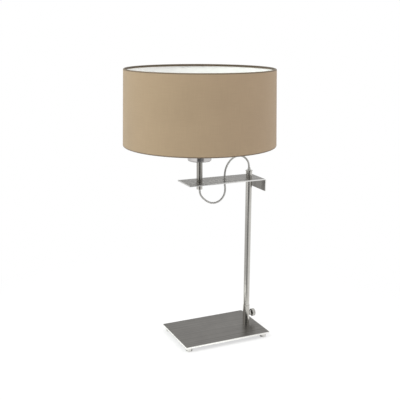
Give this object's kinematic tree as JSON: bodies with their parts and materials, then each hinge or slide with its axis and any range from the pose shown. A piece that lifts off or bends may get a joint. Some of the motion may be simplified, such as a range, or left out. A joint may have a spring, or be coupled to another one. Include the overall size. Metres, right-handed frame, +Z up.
{
  "type": "table lamp",
  "caption": "Table lamp with a wide drum shade on a flat arm, carried by a slim post over a rectangular base plate, with a rotary switch at the post's foot and a looped flex.",
  "frame": {"origin": "the surface that the lamp stands on, straight below the lampholder and the middle of the shade", "axes": "+Z up along the lampholder, +X along the arm from the lampholder towards the post"},
  "size_m": [0.38, 0.38, 0.7029],
  "materials": {
    "brushed_plate": "brushed lengthways, satin nickel",
    "polished_tube": "polished nickel plate",
    "knob_nickel": "polished nickel plate",
    "foot_satin": "satin",
    "pad_rubber": "matt",
    "zinc_steel": "zinc plated",
    "contact_brass": "turned",
    "flex_sheath": "grey, satin",
    "grip_plastic": "satin",
    "switch_plastic": "moulded, black",
    "holder_plastic": "moulded, white",
    "holder_ceramic": "unglazed",
    "frame_white": "white powder coat",
    "shade_fabric": "fine woven linen, taupe",
    "shade_white": "white laminate"
  },
  "bodies": {
    "lamp_stand": {"base_plate": "brushed_plate", "arm_plate": "brushed_plate", "post_tube": "polished_tube", "stem_tube": "polished_tube", "switch_housing": "polished_tube", "holder_cup": "polished_tube", "stem_stub_nut": "polished_tube", "gland_body": "polished_tube", "gland_collar": "polished_tube", "switch_saddle": "polished_tube", "switch_nut": "polished_tube", "switch_bush": "polished_tube", "foot_front_left": "foot_satin", "foot_front_right": "foot_satin", "foot_rear_left": "foot_satin", "foot_rear_right": "foot_satin", "foot_pad_front_left": "pad_rubber", "foot_pad_front_right": "pad_rubber", "foot_pad_rear_left": "pad_rubber", "foot_pad_rear_right": "pad_rubber", "foot_screws": "zinc_steel", "base_washer": "zinc_steel", "base_nut": "zinc_steel", "base_nipple": "zinc_steel", "housing_plug": "zinc_steel", "post_insert": "zinc_steel", "gland_nipple": "zinc_steel", "stem_nipple": "zinc_steel", "holder_locknut": "zinc_steel", "contact_foot": "contact_brass", "side_contact": "contact_brass", "terminal_screws": "contact_brass", "flex": "flex_sheath", "cord_grip": "grip_plastic", "flex_grommet": "grip_plastic", "stub_bush": "grip_plastic", "lead_inlet_bush": "grip_plastic", "switch_body": "switch_plastic", "holder_cap": "holder_plastic", "holder_skirt": "holder_plastic", "shade_nut": "holder_plastic", "holder_insert": "holder_ceramic", "shade_hub": "frame_white", "hub_arm_1": "frame_white", "hub_arm_2": "frame_white", "hub_arm_3": "frame_white", "lower_ring": "frame_white", "upper_ring": "frame_white", "shade_cover": "shade_fabric", "shade_lining": "shade_white"},
    "switch_spindle": {"switch_shaft": "zinc_steel", "switch_rotor": "switch_plastic", "switch_knob": "knob_nickel", "knob_grub_screw": "zinc_steel"},
    "contact_blade": {"centre_contact": "contact_brass"}
  },
  "joints": [
    {"name": "switch_turn", "type": "hinge", "parent": "lamp_stand", "child": "switch_spindle", "pos_m": [0.141, 0, 0.042], "axis": [1, 0, 0], "continuous": true},
    {"name": "contact_press", "type": "hinge", "parent": "lamp_stand", "child": "contact_blade", "pos_m": [-0.0081, 0, 0.5063], "axis": [0, 1, 0], "range_deg": [0, 12], "stiffness_Nm_per_rad": 0.12}
  ]
}
